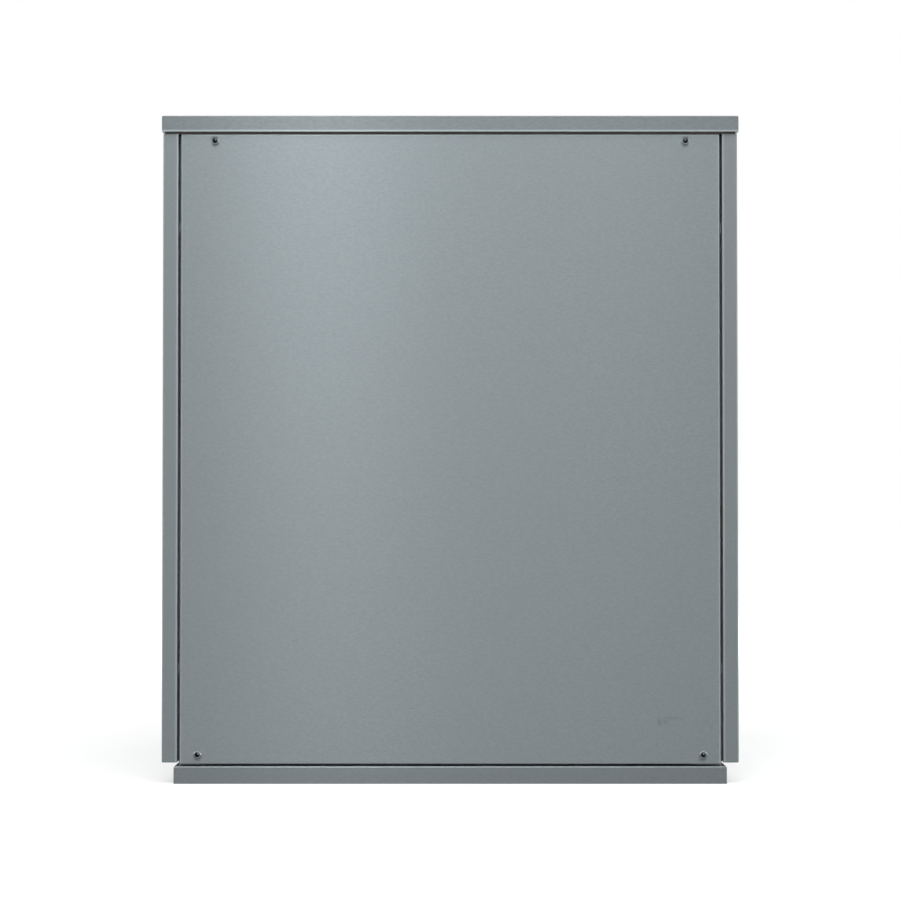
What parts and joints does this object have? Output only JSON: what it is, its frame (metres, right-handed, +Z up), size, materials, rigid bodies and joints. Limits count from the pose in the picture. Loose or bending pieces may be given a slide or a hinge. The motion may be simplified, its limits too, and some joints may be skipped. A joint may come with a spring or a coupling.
{
  "type": "ice machine",
  "caption": "Modular ice machine head: folded stainless cabinet over a grid evaporator, splash curtain, water sump and pump, with compressor, condenser and fan behind.",
  "frame": {"origin": "middle of the footprint, rear connections included, on the underside that rests on the bin", "axes": "+X to the right seen from the front, +Y from the front panel to the rear, +Z up"},
  "size_m": [0.56, 0.62, 0.6475],
  "materials": {
    "stainless_skin": "fine horizontal brushed grain",
    "galvanised_steel": "galvanised sheet",
    "screw_steel": "plain steel fasteners",
    "seal_rubber": "matt",
    "white_plastic": "satin moulded",
    "rotor_plastic": "satin moulded",
    "foam": "closed-cell foam",
    "curtain_plastic": "milky, slightly see-through",
    "plated_copper": "dull nickel plating",
    "copper": "bare copper, lightly tarnished",
    "valve_brass": "machined brass",
    "hose_vinyl": "soft clear vinyl",
    "black_enamel": "gloss black enamel",
    "motor_paint": "grey paint",
    "black_plastic": "moulded",
    "fin_aluminium": "bare fins",
    "board_green": "solder mask",
    "button_plastic": "moulded",
    "grey_plastic": "moulded"
  },
  "bodies": {
    "machine": {"front_panel": "stainless_skin", "side_panel_right": "stainless_skin", "side_panel_left": "stainless_skin", "lid": "stainless_skin", "base_tray": "stainless_skin", "rear_cover": "galvanised_steel", "rear_service_panel": "galvanised_steel", "corner_posts": "galvanised_steel", "top_rails": "galvanised_steel", "panel_brackets": "galvanised_steel", "bulkhead": "galvanised_steel", "electrical_box": "galvanised_steel", "electrical_box_cover": "galvanised_steel", "fan_shroud": "galvanised_steel", "motor_bracket": "galvanised_steel", "front_screws": "screw_steel", "rear_screws": "screw_steel", "compressor_bolts": "screw_steel", "lid_seal": "seal_rubber", "compressor_grommets": "seal_rubber", "ice_compartment_liner": "white_plastic", "splash_cover": "white_plastic", "ice_chute_collar": "white_plastic", "ice_ramp": "white_plastic", "sump": "white_plastic", "standpipe": "white_plastic", "evaporator_frame": "white_plastic", "water_distributor": "white_plastic", "pump_housing": "white_plastic", "float_stem": "white_plastic", "insulation": "foam", "evaporator_grid": "plated_copper", "evaporator_coil": "plated_copper", "suction_line": "copper", "discharge_lines": "copper", "liquid_lines": "copper", "filter_drier": "copper", "expansion_valve": "valve_brass", "hot_gas_valve": "valve_brass", "drain_hose": "hose_vinyl", "supply_hose": "hose_vinyl", "fill_tube": "hose_vinyl", "compressor": "black_enamel", "fan_motor": "motor_paint", "pump_motor": "motor_paint", "terminal_cover": "black_plastic", "switch_housings": "black_plastic", "cable_gland": "black_plastic", "condenser": "fin_aluminium", "run_capacitor": "fin_aluminium", "control_board": "board_green", "water_inlet_valve": "grey_plastic", "drain_outlet": "grey_plastic"},
    "fan_rotor": {"fan_rotor": "fin_aluminium"},
    "pump_rotor": {"pump_rotor": "rotor_plastic"},
    "splash_curtain": {"splash_curtain": "curtain_plastic"},
    "level_float": {"level_float": "white_plastic"},
    "power_rocker": {"power_rocker": "black_plastic"},
    "wash_button": {"wash_button": "button_plastic"}
  },
  "joints": [
    {"name": "fan_spin", "type": "hinge", "parent": "machine", "child": "fan_rotor", "pos_m": [0.1149, 0.173, 0.253], "axis": [0, 1, 0], "continuous": true},
    {"name": "pump_spin", "type": "hinge", "parent": "machine", "child": "pump_rotor", "pos_m": [0.13675, -0.1021, 0.1], "axis": [0, 0, 1], "continuous": true},
    {"name": "curtain_swing", "type": "hinge", "parent": "machine", "child": "splash_curtain", "pos_m": [-0.064, -0.1356, 0.5841], "axis": [-1, 0, 0], "range_deg": [0, 18]},
    {"name": "float_rise", "type": "slide", "parent": "machine", "child": "level_float", "axis": [0, 0, 1], "range_m": [0, 0.025]},
    {"name": "power_rocker_tilt", "type": "hinge", "parent": "machine", "child": "power_rocker", "pos_m": [0.2195, -0.268, 0.545], "axis": [-1, 0, 0], "range_deg": [0, 22]},
    {"name": "wash_press", "type": "slide", "parent": "machine", "child": "wash_button", "axis": [0, 1, 0], "range_m": [0, 0.003], "stiffness_N_per_m": 200, "springref_m": -0.002}
  ]
}
